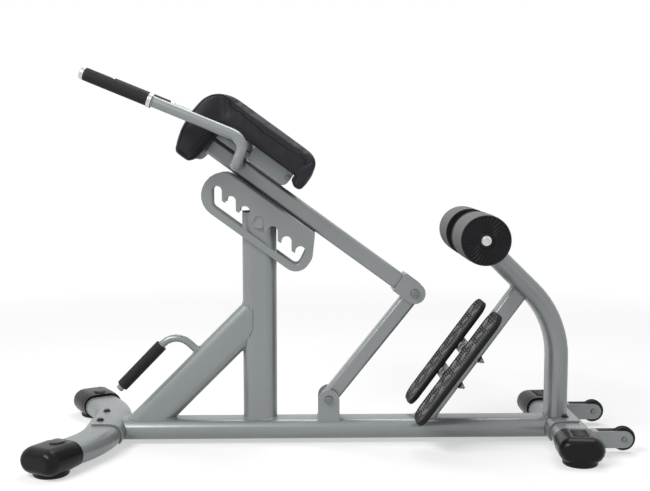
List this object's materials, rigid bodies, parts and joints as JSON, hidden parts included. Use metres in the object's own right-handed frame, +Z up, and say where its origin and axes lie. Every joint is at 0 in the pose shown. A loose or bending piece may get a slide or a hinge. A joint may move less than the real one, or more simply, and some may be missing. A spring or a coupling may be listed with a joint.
{
  "type": "hyperextension bench",
  "caption": "Adjustable hyperextension bench: hip pad on a toothed swinging boom, bent handlebar, foam leg rollers, sloped footplates and a four-footed steel frame.",
  "frame": {"origin": "on the floor, under the middle of the whole bench", "axes": "+Z up, +X along the bench from the handles towards the leg rollers and wheels, +Y across it to the user's right"},
  "size_m": [1.5306, 0.688, 0.9786],
  "materials": {
    "frame_paint": "satin silver-grey powder coat",
    "boot_rubber": "moulded, slightly glossy black",
    "grip_rubber": "fine-textured black",
    "pad_vinyl": "black upholstery vinyl over foam",
    "roller_foam": "matt grey closed-cell foam",
    "black_plastic": "moulded black",
    "bright_steel": "bright, lightly brushed",
    "dark_steel": "blackened steel",
    "tread_rubber": "matt moulded tread"
  },
  "bodies": {
    "frame": {"carry_grip": "grip_rubber", "carry_handle": "frame_paint", "diagonal_brace": "frame_paint", "footplate_left": "tread_rubber", "footplate_right": "tread_rubber", "footplate_stem": "frame_paint", "footplate_strap_lower": "dark_steel", "footplate_strap_upper": "dark_steel", "front_boot_left": "boot_rubber", "front_boot_right": "boot_rubber", "front_foot_bar": "frame_paint", "front_saddle": "frame_paint", "link_bracket": "frame_paint", "main_tube": "frame_paint", "rear_boot_left": "boot_rubber", "rear_boot_right": "boot_rubber", "rear_foot_bar": "frame_paint", "rear_post": "frame_paint", "rear_saddle": "frame_paint", "roller_axle": "bright_steel", "roller_hub": "frame_paint", "support_pin": "bright_steel", "upright": "frame_paint", "upright_lid": "black_plastic", "wheel_bolt_left": "dark_steel", "wheel_bolt_right": "dark_steel", "wheel_fork_left": "frame_paint", "wheel_fork_right": "frame_paint"},
    "lower_pivot_bolt": {"lower_pivot_bolt": "dark_steel"},
    "link": {"link_tube": "frame_paint", "link_lower_bush": "frame_paint", "link_upper_bush": "frame_paint"},
    "upper_pivot_bolt": {"upper_pivot_bolt": "dark_steel"},
    "boom": {"boom_tube": "frame_paint", "boom_clevis": "frame_paint", "boom_end_cap": "black_plastic", "rack_channel": "frame_paint", "hip_pad": "pad_vinyl", "pad_rail": "frame_paint", "handlebar": "frame_paint", "handle_grip_left": "grip_rubber", "handle_grip_right": "grip_rubber", "handle_collar_left": "bright_steel", "handle_collar_right": "bright_steel", "handle_plug_left": "bright_steel", "handle_plug_right": "bright_steel"},
    "roller_left": {"roller_spool_left": "black_plastic", "roller_foam_left": "roller_foam"},
    "roller_right": {"roller_spool_right": "black_plastic", "roller_foam_right": "roller_foam"},
    "wheel_left": {"wheel_left": "black_plastic"},
    "wheel_right": {"wheel_right": "black_plastic"}
  },
  "joints": [
    {"name": "link_up", "type": "hinge", "parent": "frame", "child": "lower_pivot_bolt", "pos_m": [-0.01928, 0, 0.11702], "axis": [0, -1, 0], "range_deg": [0, 20.65]},
    {"name": "link_down", "type": "hinge", "parent": "lower_pivot_bolt", "child": "link", "pos_m": [-0.01928, 0, 0.11702], "axis": [0, -1, 0], "range_deg": [-22.43, 0]},
    {"name": "boom_up", "type": "hinge", "parent": "link", "child": "upper_pivot_bolt", "pos_m": [0.20733, 0, 0.4015], "axis": [0, -1, 0], "range_deg": [-23.9, 0]},
    {"name": "boom_down", "type": "hinge", "parent": "upper_pivot_bolt", "child": "boom", "pos_m": [0.20733, 0, 0.4015], "axis": [0, -1, 0], "range_deg": [0, 19.12]},
    {"name": "roller_left_spin", "type": "hinge", "parent": "frame", "child": "roller_left", "pos_m": [0.36375, 0, 0.556], "axis": [0, -1, 0], "continuous": true},
    {"name": "roller_right_spin", "type": "hinge", "parent": "frame", "child": "roller_right", "pos_m": [0.36375, 0, 0.556], "axis": [0, -1, 0], "continuous": true},
    {"name": "wheel_left_spin", "type": "hinge", "parent": "frame", "child": "wheel_left", "pos_m": [0.73425, -0.138, 0.04], "axis": [0, -1, 0], "continuous": true},
    {"name": "wheel_right_spin", "type": "hinge", "parent": "frame", "child": "wheel_right", "pos_m": [0.73425, 0.138, 0.04], "axis": [0, -1, 0], "continuous": true}
  ],
  "couplings": [
    {"joint": "boom_up", "follows": "link_up", "ratio": -1.1565},
    {"joint": "boom_down", "follows": "link_down", "ratio": -0.8519}
  ]
}
